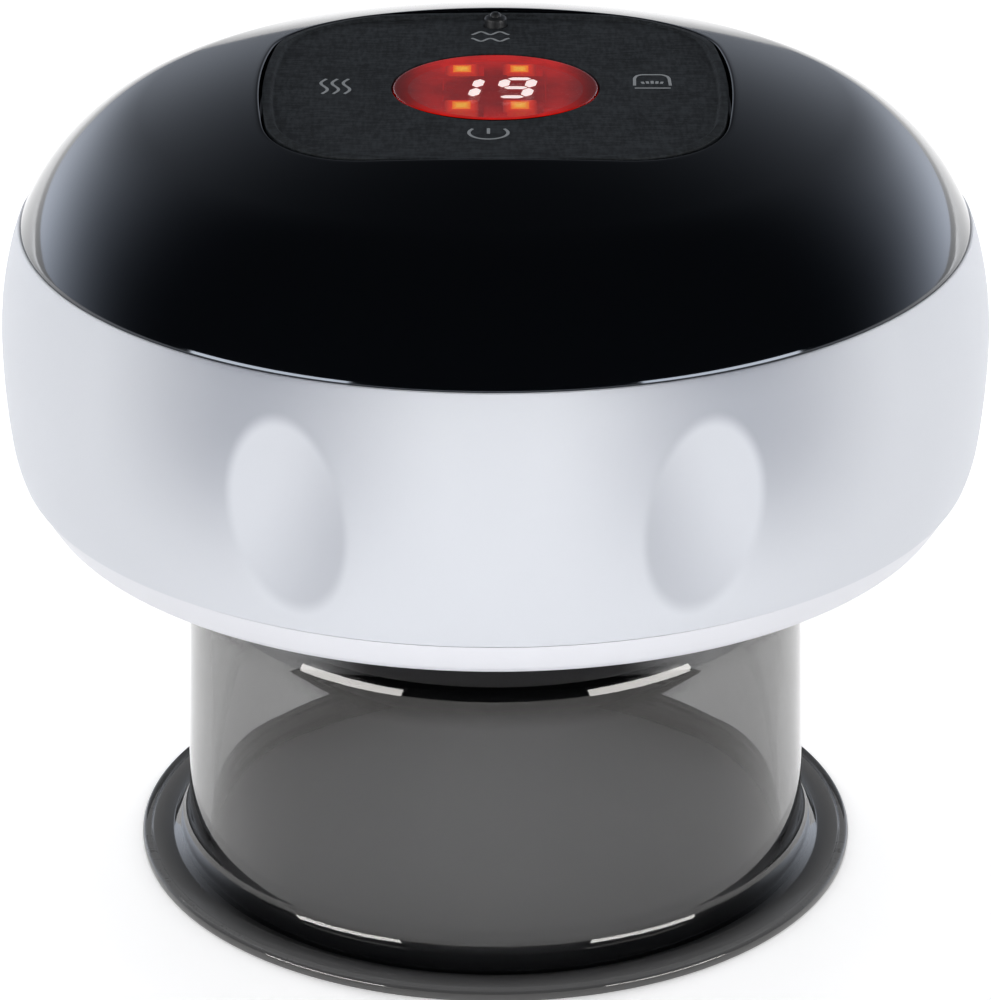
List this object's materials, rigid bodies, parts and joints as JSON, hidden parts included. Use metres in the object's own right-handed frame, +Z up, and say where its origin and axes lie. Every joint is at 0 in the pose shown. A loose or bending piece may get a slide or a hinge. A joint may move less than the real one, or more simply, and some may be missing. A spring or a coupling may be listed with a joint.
{
  "type": "electric cupping massager",
  "caption": "Round hand-held massager whose battery-powered head draws air from a see-through suction cup, with heat and red light.",
  "frame": {"origin": "centre of the cup's rim, on the surface it stands on", "axes": "+Z up through the head, -Y towards the front of the head, USB socket at +Y"},
  "size_m": [0.0954, 0.0952, 0.0808],
  "materials": {
    "smoky_plastic": "see-through smoky grey plastic, glossy",
    "clear_silicone": "milky soft silicone",
    "base_white": "satin off-white plastic",
    "screw_steel": "plated steel",
    "frosted_plastic": "frosted clear plastic",
    "heater_aluminium": "fine brushed",
    "sensor_black": "black moulded plastic",
    "reflector_white": "bright white plastic",
    "board_green": "circuit board laminate",
    "lamp_red": "red lamp body",
    "nozzle_white": "white moulded plastic",
    "filter_felt": "pressed felt",
    "chassis_grey": "grey moulded plastic",
    "shell_white": "satin pale grey-white plastic",
    "dome_black": "polished black plastic",
    "pad_charcoal": "matte charcoal with a fine woven grain",
    "display_red": "dark red see-through window",
    "digit_white": "lit white segments",
    "indicator_amber": "lit amber",
    "cell_sleeve": "blue shrink sleeve",
    "foam_grey": "closed-cell foam",
    "motor_steel": "plated steel",
    "bearing_bronze": "sintered bronze",
    "terminal_brass": "tinned brass",
    "magnet_grey": "ferrite",
    "wire_red": "red wire insulation",
    "core_steel": "bare soft iron",
    "winding_copper": "enamelled copper",
    "gear_nylon": "natural nylon",
    "pump_black": "black moulded plastic",
    "diaphragm_rubber": "soft black rubber",
    "plunger_red": "red switch plunger"
  },
  "bodies": {
    "cup": {"cup": "smoky_plastic"},
    "head": {"cup_seal_ring": "clear_silicone", "base_cover": "base_white", "base_screws": "screw_steel", "light_lens": "frosted_plastic", "heater_plate": "heater_aluminium", "temperature_sensor": "sensor_black", "light_reflector": "reflector_white", "light_board": "board_green", "treatment_lights": "lamp_red", "suction_nozzle": "nozzle_white", "air_filter": "filter_felt", "filter_cap": "nozzle_white", "chassis": "chassis_grey", "inner_screws": "screw_steel", "main_shell": "shell_white", "dome": "dome_black", "control_pad": "pad_charcoal", "display_lens": "display_red", "status_light": "dome_black", "main_board": "board_green", "switch_bodies": "sensor_black", "display_module": "sensor_black", "digit_segments": "digit_white", "indicator_lights": "indicator_amber", "display_shroud": "sensor_black", "battery": "cell_sleeve", "battery_foam": "foam_grey", "motor_can": "motor_steel", "motor_bearings": "bearing_bronze", "motor_end_cap": "sensor_black", "motor_terminals": "terminal_brass", "motor_magnets": "magnet_grey", "wires": "wire_red", "pump_bracket": "pump_black", "pump_diaphragm": "diaphragm_rubber", "pump_valve_plate": "pump_black", "pump_flap_valves": "diaphragm_rubber", "pump_cover": "pump_black", "pump_screws": "screw_steel", "air_line_hoses": "clear_silicone", "tee_fitting": "nozzle_white", "valve_frame": "motor_steel", "valve_coil": "winding_copper", "valve_body": "pump_black", "valve_spring": "motor_steel", "charge_board": "board_green", "usb_socket": "motor_steel"},
    "rotor": {"motor_core": "core_steel", "motor_windings": "winding_copper", "commutator": "winding_copper", "motor_shaft": "motor_steel", "eccentric_wheel": "gear_nylon", "crank_pin": "motor_steel"},
    "wobble": {"wobble_plate": "gear_nylon"},
    "plunger": {"valve_plunger": "core_steel"},
    "power_switch": {"power_plunger": "plunger_red"},
    "level_switch": {"level_plunger": "plunger_red"},
    "heat_switch": {"heat_plunger": "plunger_red"},
    "suction_switch": {"suction_plunger": "plunger_red"}
  },
  "joints": [
    {"name": "head_lift", "type": "slide", "parent": "cup", "child": "head", "axis": [0, 0, 1], "range_m": [0, 0.02]},
    {"name": "motor_spin", "type": "hinge", "parent": "head", "child": "rotor", "pos_m": [0.001, 0.0185, 0.0593], "axis": [1, 0, 0], "continuous": true},
    {"name": "wobble_rock", "type": "hinge", "parent": "head", "child": "wobble", "pos_m": [-0.0116, 0.0185, 0.0593], "axis": [0, 1, 0], "range_deg": [-3, 3], "stiffness_Nm_per_rad": 0.01},
    {"name": "release_plunger", "type": "slide", "parent": "head", "child": "plunger", "axis": [-1, 0, 0], "range_m": [0, 0.0005], "stiffness_N_per_m": 200, "springref_m": -0.001},
    {"name": "power_press", "type": "slide", "parent": "head", "child": "power_switch", "axis": [0, 0, -1], "range_m": [0, 0.00025], "stiffness_N_per_m": 500},
    {"name": "level_press", "type": "slide", "parent": "head", "child": "level_switch", "axis": [0, 0, -1], "range_m": [0, 0.00025], "stiffness_N_per_m": 500},
    {"name": "heat_press", "type": "slide", "parent": "head", "child": "heat_switch", "axis": [0, 0, -1], "range_m": [0, 0.00025], "stiffness_N_per_m": 500},
    {"name": "suction_press", "type": "slide", "parent": "head", "child": "suction_switch", "axis": [0, 0, -1], "range_m": [0, 0.00025], "stiffness_N_per_m": 500}
  ]
}
